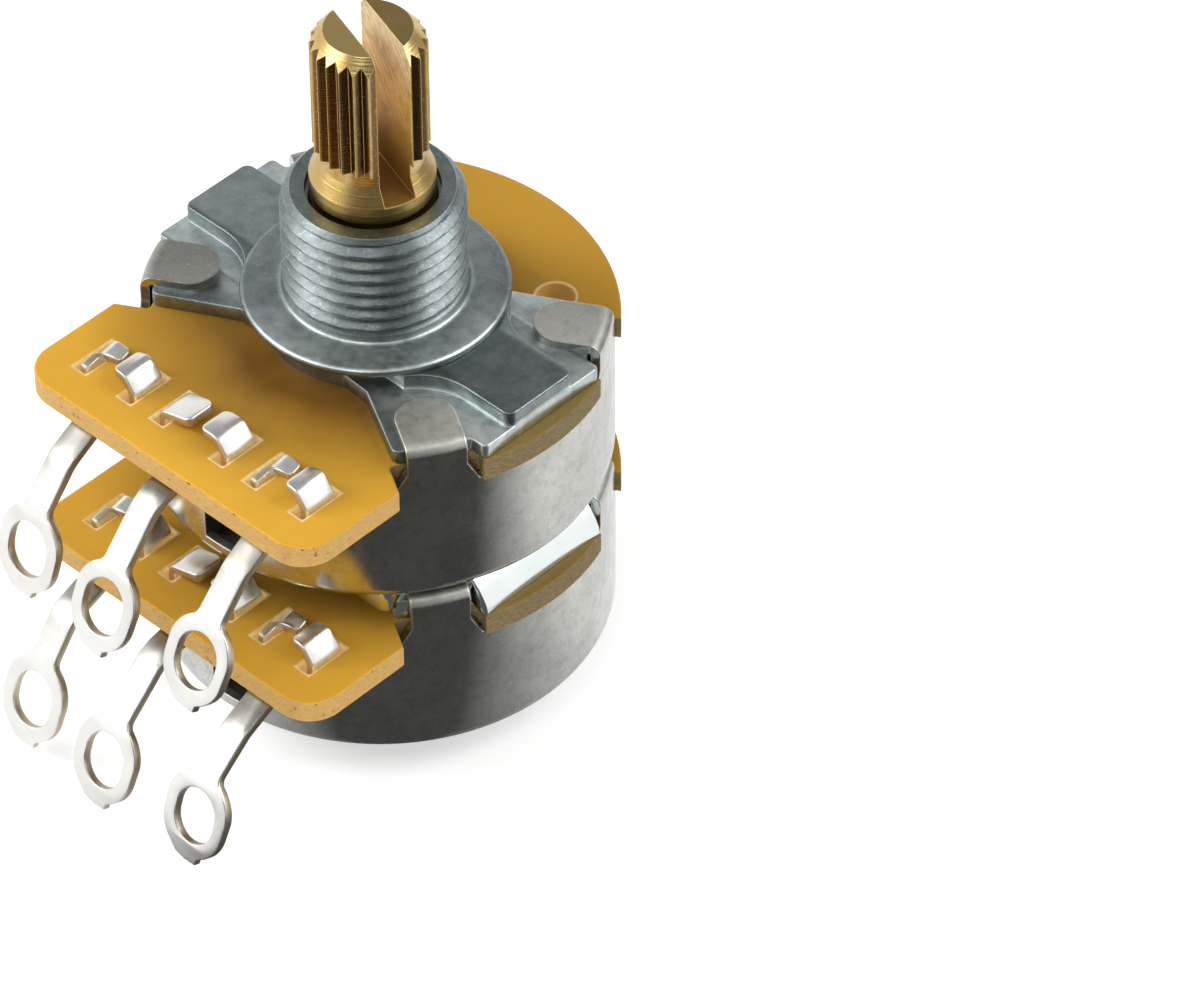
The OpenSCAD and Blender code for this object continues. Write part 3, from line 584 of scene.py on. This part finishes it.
# The punched slots and the peephole have pale rims; their walls and the end's right-facing
# edges get a painted glow.
apart = add(tree, "SeparateXYZ", Vector=coords).node
aside = add(tree, "Math", setup={"operation": "ABSOLUTE"}, i0=apart.outputs["X"])
along_y = add(tree, "Math", setup={"operation": "ADD"}, i0=apart.outputs["Y"], i1=12.05 * MM)
along_y = add(tree, "Math", setup={"operation": "ABSOLUTE"}, i0=along_y)
slot_edge = add(tree, "Math", setup={"operation": "SUBTRACT"}, i0=along_y, i1=0.88 * MM)
near_slot = 1.0
for centre in (
    SPANS[0] - PUNCH_IN,
    TERMINAL_PITCH - SPANS[1] + PUNCH_IN,
    TERMINAL_PITCH + SPANS[1] - PUNCH_IN,
):
    off = add(tree, "Math", setup={"operation": "SUBTRACT"}, i0=aside, i1=centre * MM)
    off = add(tree, "Math", setup={"operation": "ABSOLUTE"}, i0=off)
    near_slot = add(tree, "Math", setup={"operation": "MINIMUM"}, i0=off, i1=near_slot)
near_slot = add(tree, "Math", setup={"operation": "MAXIMUM"}, i0=near_slot, i1=slot_edge)
rim = add(tree, "MapRange", Value=near_slot, From_Min=0.6 * MM, From_Max=0.5 * MM)
punched = add(tree, "Math", setup={"operation": "LESS_THAN"}, i0=near_slot, i1=0.46 * MM)
# Painted shade: the top face next to the cup's windows is olive-brown.
under_edge = add(tree, "MapRange", Value=aside, From_Min=10.9 * MM, From_Max=11.1 * MM)
painted_window_shade = add(tree, "Math", setup={"operation": "ABSOLUTE"}, i0=apart.outputs["Y"])
painted_window_shade = add(tree, "MapRange", Value=painted_window_shade, From_Min=6.2 * MM, From_Max=6.0 * MM, To_Max=0.85)
painted_window_shade = add(tree, "Math", setup={"operation": "MULTIPLY"}, i0=painted_window_shade, i1=under_edge)
face = tint(tree, painted_window_shade, face, "#83703e")
rim = add(
    tree, "Math", setup={"operation": "MULTIPLY"}, i0=rim,
    i1=add(tree, "MapRange", Value=fibre, To_Min=0.9, To_Max=0.5),
)
hole = add(
    tree, "VectorMath", 1, {"operation": "DISTANCE"}, i0=round_only,
    i1=(PEEPHOLE[0] * MM, PEEPHOLE[1] * MM, 0),
)
hole_rim = add(tree, "MapRange", Value=hole, From_Min=1.2 * MM, From_Max=1.1 * MM, To_Max=0.6)
hole = add(tree, "MapRange", Value=hole, From_Min=1.15 * MM, From_Max=1.14 * MM, To_Max=0.45)
cut = tint(
    tree, add(tree, "Math", setup={"operation": "GREATER_THAN"}, i0=hole, i1=0.1), cut, "#c8963c",
)
face = tint(tree, hole_rim, face, "#ecd8a8")
board = tint(tree, rim, tint(tree, flat, cut, face), "#ecd8a8")
# Painted glow: emission on the slot and peephole walls and the end's right-facing edges.
glow = add(tree, "MapRange", Value=flat, To_Min=0.4, To_Max=0.0)
punched = add(tree, "Math", setup={"operation": "MAXIMUM"}, i0=punched, i1=hole)
sideways = add(tree, "SeparateXYZ", "X", Vector=add(tree, "NewGeometry", "Normal"))
sideways = add(tree, "MapRange", Value=sideways, From_Min=0.3, From_Max=0.6, To_Max=0.45)
sideways = add(
    tree, "Math", setup={"operation": "MULTIPLY"}, i0=sideways,
    i1=add(tree, "MapRange", Value=window, To_Min=1.0, To_Max=0.0),
)
punched = add(tree, "Math", setup={"operation": "MAXIMUM"}, i0=punched, i1=sideways)
glow = add(tree, "Math", setup={"operation": "MULTIPLY"}, i0=glow, i1=punched)
finish(tree, board, rough, relief, 0.03, metallic=0.0, Subsurface_Weight=0.3, Specular_IOR_Level=0.15,
       Subsurface_Radius=[0.8 * MM, 0.4 * MM, 0.12 * MM], Subsurface_Scale=1.0,
       Emission_Color=colour("#d0aa68"), Emission_Strength=glow)

for gang, drop in (("front", 0.0), ("rear", PITCH)):
    openings = [ring(0, 0, BOARD_BORE_R), ring(*PEEPHOLE, PEEPHOLE_R, 0, 360, 24)]
    for i in (-1, 0, 1):
        for s in (-1, 1):
            x = TERMINAL_PITCH * i + s * (SPANS[i] - PUNCH_IN)
            openings.append(rounded([
                (x - PUNCH_HALF, PUNCH_Y[0], PUNCH_CORNER),
                (x + PUNCH_HALF, PUNCH_Y[0], PUNCH_CORNER),
                (x + PUNCH_HALF, PUNCH_Y[1], PUNCH_CORNER),
                (x - PUNCH_HALF, PUNCH_Y[1], PUNCH_CORNER),
            ], True, 2))
    sheet = slab(wafer_outline(), openings, WAFER_BOTTOM - drop, WAFER_TOP - drop, 0.09)
    place_piece(gang + "_wafer_punched", [sheet], "housing", phenolic, gang + "_wafer", 20)


# Films: a carbon horseshoe and a silver collector ring, printed on each wafer's underside.
def film(name, light, dark):
    material, tree, coords = start(name)
    fine = grain(tree, coords, 0.3)
    finish(tree, tint(tree, fine, light, dark), 0.5, fine, 0.002, metallic=0.0)
    return material


carbon = film("carbon_printed_film", "#121212", "#1a1a1a")
silver = film("silver_printed_film", "#c8c6bf", "#b2b0a8")
for gang in ("front", "rear"):
    dress(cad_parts[gang + "_track"], carbon)
    dress(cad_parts[gang + "_collector"], silver)

# Terminals: stamped tin-plated brass. A base lies under the wafer, two prongs come up through
# the slots and are clinched over it, and a strip bends down to the solder eyelet.
STRIP_T, BASE_GAP, TERMINAL_Y = 0.5, 0.05, -12.0
EYE_Y, EYE_Z, EYE_TILT, EYE_TIP = -19.2, -6.0, 20, 3.0
PRONG_W, PRONG_FOOT = 2.0, 1.74


def slice_up(made, axis, values):
    for value in values:
        at, way = Vector((0, 0, 0)), Vector((0, 0, 0))
        at[axis], way[axis] = value, 1
        geometry = made.verts[:] + made.edges[:] + made.faces[:]
        bmesh.ops.bisect_plane(made, geom=geometry, plane_co=at, plane_no=way, dist=0.0001)


def run_along(path):
    lengths = [0.0]
    for a, b in zip(path, path[1:]):
        lengths.append(lengths[-1] + (b - a).length)
    return lengths


def bend(made, path, place_point):
    lengths = run_along(path)
    slice_up(made, 1, lengths[1:-1])
    for vertex in made.verts:
        x, s, z = vertex.co
        k = 0
        while k < len(path) - 2 and s > lengths[k + 1]:
            k += 1
        step = (path[k + 1] - path[k]).normalized()
        at = path[k] + step * (s - lengths[k])
        side = Vector((-step.y, step.x))
        if k > 0 and abs(s - lengths[k]) < 0.001:
            before = (path[k] - path[k - 1]).normalized()
            side = (side + Vector((-before.y, before.x))).normalized()
        elif k < len(path) - 2 and abs(s - lengths[k + 1]) < 0.001:
            after = (path[k + 2] - path[k + 1]).normalized()
            side = (side + Vector((-after.y, after.x))).normalized()
        vertex.co = place_point(x, at + side * z)


def eyelet(total):
    def around(wide, first, last, steps, straight=0.4):
        turns = [math.radians(first + (last - first) * k / steps) for k in range(steps + 1)]
        points = []
        for t in turns:
            rise = math.copysign(straight, math.sin(t))
            points.append(Vector((wide * math.cos(t), total + wide * math.sin(t) + rise)))
        return points

    neck = [(0.8, 0.0), (0.8, total - 2.62), (0.84, total - 2.42), (0.95, total - 2.24)]
    neck = [Vector(p) for p in neck]
    nub = [(0.76, total + 2.3), (0.74, total + 2.58), (0.0, total + 2.6), (-0.7, total + 2.46)]
    outline = neck + around(2.05, -56, -2, 9) + around(1.98, 3, 64, 9)
    outline += [Vector(p) for p in nub]
    outline += around(2.05, 124, 236, 18) + [Vector((-p.x, p.y)) for p in reversed(neck)]
    return outline, around(1.3, 2, 178, 14, 0.25) + around(1.3, 182, 358, 14, 0.25)


def lead(column, drop, shape):
    reach, down, eye_out, eye_down, tilt = shape
    tilt = math.radians(EYE_TILT + tilt)
    eye = Vector((EYE_Y - eye_out, EYE_Z - eye_down))
    neck = eye + Vector((math.sin(tilt), math.cos(tilt))) * 2.2
    tip = eye - Vector((math.sin(tilt), math.cos(tilt))) * EYE_TIP
    path = rounded([
        (TERMINAL_Y, -0.25), (-14.0, -0.27 - 0.2 * down, 1.2),
        (-16.3 - reach, -1.25 - down, 2.6), (*neck, 3.0), tuple(tip),
    ], False, 9)
    total = run_along(path)[-1] - EYE_TIP
    outline, hole = eyelet(total)
    made = slab(outline, [hole], -STRIP_T / 2, STRIP_T / 2, 0.07)
    bend(made, path, lambda x, p: Vector((
        TERMINAL_PITCH * column + x, p.x, WAFER_BOTTOM - drop + p.y,
    )))
    return made


def prong(column, drop, side, fold):
    half = SPANS[column] - BASE_GAP - STRIP_T / 2
    folds = [(half - reach, rise, radius) for reach, rise, radius in fold]
    path = rounded([(half, -PRONG_FOOT)] + folds, False, 7)
    length = run_along(path)[-1]
    w = PRONG_W / 2
    shape = rounded([
        (-w, 0), (w, 0), (w, length - 0.5, 0.3), (w * 0.8, length, 0.3), (-w * 0.9, length, 0.3),
    ], True, 3)
    made = slab(shape, [], -STRIP_T / 2, STRIP_T / 2, 0.07)
    bend(made, path, lambda x, p: Vector((
        TERMINAL_PITCH * column + side * p.x, TERMINAL_Y + x, WAFER_TOP - drop + p.y,
    )))
    return made


def twisted_prong(column, drop):
    half, foot, radius = SPANS[column] - BASE_GAP - STRIP_T / 2, PRONG_FOOT, 0.35
    w = 1.15
    shape = [
        (-w, 0), (w, 0), (w * 0.95, foot + 1.1, 0.3), (0.2, foot + 1.2, 0.3),
        (0.05, foot + 0.35, 0.1), (-w, foot + 0.12, 0.2),
    ]
    made = slab(rounded(shape, True, 4), [], -STRIP_T / 2, STRIP_T / 2, 0.08)
    slice_up(made, 0, [w * k / 9 for k in range(-4, 9)])
    slice_up(made, 1, [foot - 0.3 + 0.07 * k for k in range(20)])
    for vertex in made.verts:
        x, s, z = vertex.co
        far = min(max((x + 0.25) / 0.5, 0), 1)
        most = far * far * (3 - 2 * far) * math.radians(88)
        run = max(s - foot + 0.3, 0)
        turn = min(run / radius, most)
        rest = run - radius * turn
        along_x = radius * (1 - math.cos(turn)) + rest * math.sin(turn)
        climb = radius * math.sin(turn) + rest * math.cos(turn) - foot + min(s, foot - 0.3)
        vertex.co = (
            TERMINAL_PITCH * column - half + 0.08 + along_x + z * math.cos(turn),
            TERMINAL_Y + x,
            WAFER_TOP - drop + climb - z * math.sin(turn) + 0.2 * x * far,
        )
    return made


tin, tree, coords = start("brass_stamped_tin_plated")
cloud = grain(tree, coords, 2.5)
fine = grain(tree, coords, 0.4, 0.3, 0.7)
rounded_normal, wear_and_highlight = edge_wear_and_highlight(tree, 0.07)
# Painted shade: the leads are greyer close to the wafer's front edge.
outward = add(tree, "SeparateXYZ", "Y", Vector=coords)
painted_lead_shade = add(tree, "MapRange", Value=outward, From_Min=-17.8 * MM, From_Max=-15.6 * MM)
beyond = add(tree, "Math", setup={"operation": "LESS_THAN"}, i0=outward, i1=-14.0 * MM)
painted_lead_shade = add(tree, "Math", setup={"operation": "MULTIPLY"}, i0=painted_lead_shade, i1=beyond)
painted_lead_shade = add(tree, "Math", setup={"operation": "MULTIPLY"}, i0=painted_lead_shade, i1=0.85)
base = tint(tree, cloud, "#fbfaf6", "#f0eee8")
base = tint(tree, painted_lead_shade, base, "#8f8b80")
# Edge wear and painted edge highlight.
base = tint(
    tree, add(tree, "Math", setup={"operation": "MULTIPLY"}, i0=wear_and_highlight, i1=0.5), base, "#fbfaf6",
)
roughness = add(tree, "MapRange", Value=fine, To_Min=0.26, To_Max=0.36)
finish(tree, base, roughness, fine, 0.002, rounded_normal)
sheared = metal(
    "brass_sheared_edge", "#dccfb8", "#c4b498", 0.45, 0.15, 0.01, "#f0e8d8", scratches=0.3,
)
CURL = [(0, 0.1, 0.3), (0.6, 0.86, 0.4), (1.35, 0.86, 0)]
CURL_WIDE = [(0, 0.1, 0.3), (0.6, 0.82, 0.4), (1.7, 0.8, 0)]
LEAF = [(0, 0.2, 0.35), (1.95, 0.72, 0)]
BENDS = {
    ("front", -1): (0, 0.45, -0.35, 0.15, -4.5),
    ("front", 0): (-0.2, -0.45, 0.2, -0.25, 2.5),
    ("front", 1): (-0.3, 0.35, -0.35, -0.2, 4),
    ("rear", -1): (0.5, 0.15, 0.1, -0.2, 0.5),
    ("rear", 0): (0, -0.6, 0.8, -0.5, 1),
    ("rear", 1): (0.2, 0.35, 0.3, -0.4, 0.5),
}
BASE_Y = (-13.2, -10.9)
SIDES = {-1: "left", 0: "middle", 1: "right"}
for (gang, column), shape in BENDS.items():
    drop = 0.0 if gang == "front" else PITCH
    half = SPANS[column] - BASE_GAP
    base = [(-half, BASE_Y[0]), (half, BASE_Y[0]), (half, BASE_Y[1]), (-half, BASE_Y[1])]
    base = slab([Vector(p) for p in base], [], -STRIP_T, 0, 0.05)
    bmesh.ops.translate(
        base, verts=base.verts, vec=(TERMINAL_PITCH * column, 0, WAFER_BOTTOM - drop),
    )
    left = twisted_prong(column, drop) if column else prong(column, drop, -1, LEAF)
    right = prong(column, drop, 1, CURL if column else CURL_WIDE)
    name = gang + "_terminal_" + SIDES[column]
    parts = [base, lead(column, drop, shape), right, left]
    place_piece(name + "_stamped", parts, "housing", tin, name, 45, sheared)

# Rotors and wipers: black phenolic mouldings on the shaft's flats, with bronze spring fingers
# heat-staked on top that sweep the films.
moulding = film("phenolic_moulded_black", "#1f1d1b", "#292622")
bronze = metal("bronze_spring_rolled", "#b98c5a", "#a67a4a", 0.3, 0.3, 0.003, "#d9b58a")
for gang in ("front", "rear"):
    dress(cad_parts[gang + "_rotor"], moulding)
    dress(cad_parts[gang + "_wiper"], bronze)

# Cups: deep drawn from nickel-plated steel strip, with four tabs folded in over the plate.
# Drawing leaves soft upright streaks; the folds are slightly orange-peeled.
# The tabs' tops carry painted reflection, darker at the left and lighter at the front.
steel = metal(
    "steel_drawn_nickel_plated", "#cfcfca", "#bdbdb7", 0.17, 0.5, 0.003, "#fbfbf8", (1, 1, 0.35),
    0.12, 0.7, 0.25, ("#9c9c95", "#eeeee4"),
)
for gang in ("front", "rear"):
    dress(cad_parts[gang + "_cup"], steel)

# Rear plate: stamped steel, bright zinc plated, welded to the front cup's floor. Its ends are
# rolled down into round bars that bear on the rear wafer, and four ears take the rear tabs.
REAR_Z, REAR_H, REAR_T = WAFER_TOP - PITCH, 2.16, 1.26
BAR_HALF, BAR_IN, BAR_CHAMFER = 4.2, 9.9, 0.12
WEB_X, WEB_Y, WEB_CORNER, ROOT_X = 8.6, 8.3, 0.6, BAR_IN + 0.4
bright_zinc = metal(
    "steel_stamped_bright_zinc", "#fbffff", "#eef8f6", 0.18, 0.4, 0.003, "#f4faf8", scratches=0.15,
)
web = [
    (WEB_X, -WEB_Y, WEB_CORNER), (WEB_X, -BAR_HALF), (ROOT_X, -BAR_HALF),
    (ROOT_X, BAR_HALF), (WEB_X, BAR_HALF), (WEB_X, WEB_Y, WEB_CORNER),
]
web = rounded(web + [(-c[0], -c[1], *c[2:]) for c in web], True, 4)
rear_parts = [slab(web, [], REAR_Z + REAR_H - REAR_T, REAR_Z + REAR_H - 0.01, 0.05)]
for a in TABS:
    ear = [turned(*p, a) for p in ((7.5, -2.3), (11.2, -2.3), (11.45, 0), (11.2, 2.3), (7.5, 2.3))]
    rear_parts.append(slab([Vector(p) for p in ear], [], REAR_Z + 0.01, REAR_Z + REAR_T, 0.05))
section = [
    (BAR_IN, REAR_H), (10.35, 2.1), (10.6, 1.88), (10.78, 1.7), (11.06, 1.38), (11.38, 0.93),
    (11.6, 0.45), (11.66, 0.12), (11.66, 0.02), (11.2, 0.02), (BAR_IN, 0.9),
]
stations = (
    (-BAR_HALF, BAR_CHAMFER), (-BAR_HALF + 0.1, 0), (BAR_HALF - 0.1, 0), (BAR_HALF, BAR_CHAMFER),
)
for s in (-1, 1):
    bar = bmesh.new()
    rows = []
    for y, shrink in stations:
        row = [(s * (x - shrink * (x > 11)), y, REAR_Z + max(z - shrink, 0.02)) for x, z in section]
        rows.append([bar.verts.new(at) for at in row])
    for low, high in zip(rows, rows[1:]):
        for k in range(len(section)):
            n = (k + 1) % len(section)
            bar.faces.new((low[k], low[n], high[n], high[k]))
    bar.faces.new(rows[0])
    bar.faces.new(rows[-1])
    rear_parts.append(bar)
place_piece("rear_plate_rolled", rear_parts, "housing", bright_zinc, "rear_plate", 35)


# Camera of the photograph: 43.7 degrees round from the terminals' side and 43.3 up, with a
# long lens. Distance, lens, shift and roll put the part where it stands in the frame.
def along(azimuth, elevation):
    a, e = math.radians(azimuth), math.radians(elevation)
    return Vector((math.sin(a) * math.cos(e), -math.cos(a) * math.cos(e), math.sin(e)))


AZIMUTH, ELEVATION, ROLL = 43.6705, 43.2857, -0.1171
DISTANCE, SHIFT = 355.826 * MM, (-11.3126 * MM, 10.9952 * MM)
FOCAL_PX, FRAME_PX, SENSOR = 7051.305, 1200, 36
back = along(AZIMUTH, ELEVATION)
right = Vector((math.cos(math.radians(AZIMUTH)), math.sin(math.radians(AZIMUTH)), 0))
up = back.cross(right)
turn = math.radians(ROLL)
c, s = math.cos(turn), math.sin(turn)
right, up = right * c + up * s, up * c - right * s
camera = bpy.data.objects.new("camera", bpy.data.cameras.new("camera"))
bpy.context.scene.collection.objects.link(camera)
camera.data.lens = FOCAL_PX / FRAME_PX * SENSOR
camera.data.sensor_width = SENSOR
camera.data.sensor_fit = "HORIZONTAL"
camera.data.clip_start = 0.01
place = back * DISTANCE - right * SHIFT[0] - up * SHIFT[1]
camera.matrix_world = Matrix((
    (right.x, up.x, back.x, place.x),
    (right.y, up.y, back.y, place.y),
    (right.z, up.z, back.z, place.z),
    (0, 0, 0, 1),
))
bpy.context.scene.camera = camera


# Studio: white floor and backdrop, a soft lamp on each side square to the view, a small one
# above, and two fills that metal doesn't mirror. What metal does mirror is pale at the back
# and left and darker behind the camera.
def lamp(name, azimuth, elevation, distance, size, power, mirrored=True):
    light = bpy.data.lights.new(name, "AREA")
    light.shape = "DISK"
    light.size = size
    light.energy = power
    piece = bpy.data.objects.new(name, light)
    bpy.context.scene.collection.objects.link(piece)
    piece.location = along(azimuth, elevation) * distance
    piece.rotation_euler = along(azimuth, elevation).to_track_quat("Z", "Y").to_euler()
    piece.visible_glossy = mirrored


lamp("lamp_left", -42, 39, 0.45, 0.32, 0.8)
lamp("lamp_right", 132, 42, 0.45, 0.32, 0.8)
lamp("lamp_front", 20, 60, 0.5, 0.2, 0.2)
lamp("fill_left", -60, 25, 0.45, 0.3, 1.6, mirrored=False)
lamp("fill_low", 45, 8, 0.45, 0.25, 0.8, mirrored=False)

FLOOR_Z, FLOOR_HALF = -23.2, 3
OPENING = tuple(along(160, 0))
floor_mesh = bpy.data.meshes.new("floor")
corners = [
    (-FLOOR_HALF, -FLOOR_HALF), (FLOOR_HALF, -FLOOR_HALF),
    (FLOOR_HALF, FLOOR_HALF), (-FLOOR_HALF, FLOOR_HALF),
]
floor_mesh.from_pydata([(x, y, FLOOR_Z * MM) for x, y in corners], [], [(0, 1, 2, 3)])
floor = bpy.data.objects.new("floor", floor_mesh)
bpy.context.scene.collection.objects.link(floor)
paper, tree, coords = start("floor_paper_white")
seen_by_camera = add(tree, "LightPath", "Is Camera Ray")
seen_in_metal = add(tree, "LightPath", "Is Glossy Ray")
diffuse = add(tree, "BsdfDiffuse", Color=colour("#e4e4e4"))
glow = add(tree, "Emission", Color=(1, 1, 1, 1), Strength=0.45)
pale = add(tree, "AddShader", i0=diffuse, i1=glow)
# Seen in metal, the floor carries a painted shadow: dark in front of the part and to its right, light
# at its back and left, and darker far off toward the opening.
flat_at = add(tree, "VectorMath", setup={"operation": "MULTIPLY"}, i0=coords, i1=(1, 1, 0))
far = add(tree, "VectorMath", 1, {"operation": "LENGTH"}, i0=flat_at)
toward_back = add(tree, "VectorMath", 1, {"operation": "DOT_PRODUCT"}, i0=flat_at, i1=(-0.2, 1, 0))
toward_left = add(tree, "VectorMath", 1, {"operation": "DOT_PRODUCT"}, i0=flat_at, i1=(-1, 0, 0))
pale_back = add(
    tree, "MapRange", Value=toward_back, From_Min=-0.009, From_Max=0.006, To_Min=0.08, To_Max=0.97,
)
pale_left = add(
    tree, "MapRange", Value=toward_left, From_Min=-0.008, From_Max=0.003, To_Min=0.05, To_Max=1.0,
)
opening = add(
    tree, "VectorMath", 1, {"operation": "DOT_PRODUCT"},
    i0=add(tree, "VectorMath", setup={"operation": "NORMALIZE"}, i0=flat_at), i1=OPENING,
)
opening = add(tree, "MapRange", Value=opening, From_Min=0.8, From_Max=0.96, To_Max=0.6)
opening = add(
    tree, "Math", setup={"operation": "MULTIPLY"}, i0=opening,
    i1=add(tree, "MapRange", Value=far, From_Min=0.05, From_Max=0.1),
)
pale_back = add(tree, "Math", setup={"operation": "SUBTRACT"}, i0=pale_back, i1=opening)
mirrored = add(tree, "Math", setup={"operation": "MAXIMUM"}, i0=pale_back, i1=pale_left)
mirrored = add(tree, "Emission", Color=(1, 1, 1, 1), Strength=mirrored)
surface = add(tree, "MixShader", i0=seen_by_camera, i1=diffuse, i2=pale)
seen_in_metal = add(
    tree, "Math", setup={"operation": "MAXIMUM"}, i0=seen_in_metal,
    i1=add(tree, "LightPath", "Is Transmission Ray"),
)
surface = add(tree, "MixShader", i0=seen_in_metal, i1=surface, i2=mirrored)
add(tree, "OutputMaterial", Surface=surface)
dress(floor, paper)

world = bpy.data.worlds.new("studio")
bpy.context.scene.world = world
world.use_nodes = True
tree = world.node_tree
tree.nodes.clear()
way = add(tree, "TexCoord", "Generated")
high = add(tree, "SeparateXYZ", "Z", Vector=way)
walls = add(tree, "MapRange", Value=high, From_Min=0.5, From_Max=0.67, To_Min=1.0, To_Max=0.3)
toward = along(AZIMUTH, 0)
ahead = add(tree, "VectorMath", 1, {"operation": "DOT_PRODUCT"}, i0=way, i1=tuple(toward))
ahead = add(tree, "MapRange", Value=ahead, From_Min=0.5, From_Max=0.85, To_Min=1.0, To_Max=0.22)
mirrored = add(tree, "Math", setup={"operation": "MULTIPLY"}, i0=walls, i1=ahead)
opening = add(tree, "VectorMath", 1, {"operation": "DOT_PRODUCT"}, i0=way, i1=OPENING)
opening = add(tree, "MapRange", Value=opening, From_Min=0.8, From_Max=0.96, To_Min=1.0, To_Max=0.4)
mirrored = add(tree, "Math", setup={"operation": "MULTIPLY"}, i0=mirrored, i1=opening)
in_mirror = add(
    tree, "Math", setup={"operation": "MAXIMUM"}, i0=add(tree, "LightPath", "Is Glossy Ray"),
    i1=add(tree, "LightPath", "Is Transmission Ray"),
)
strength = add(tree, "Mix", setup={"data_type": "FLOAT"}, i0=in_mirror, i2=0.4, i3=mirrored)
strength = add(
    tree, "Mix", setup={"data_type": "FLOAT"}, i0=add(tree, "LightPath", "Is Camera Ray"),
    i2=strength, i3=1.0,
)
add(tree, "OutputWorld", Surface=add(tree, "Background", Color=(1, 1, 1, 1), Strength=strength))

bpy.context.scene.view_settings.view_transform = "Standard"
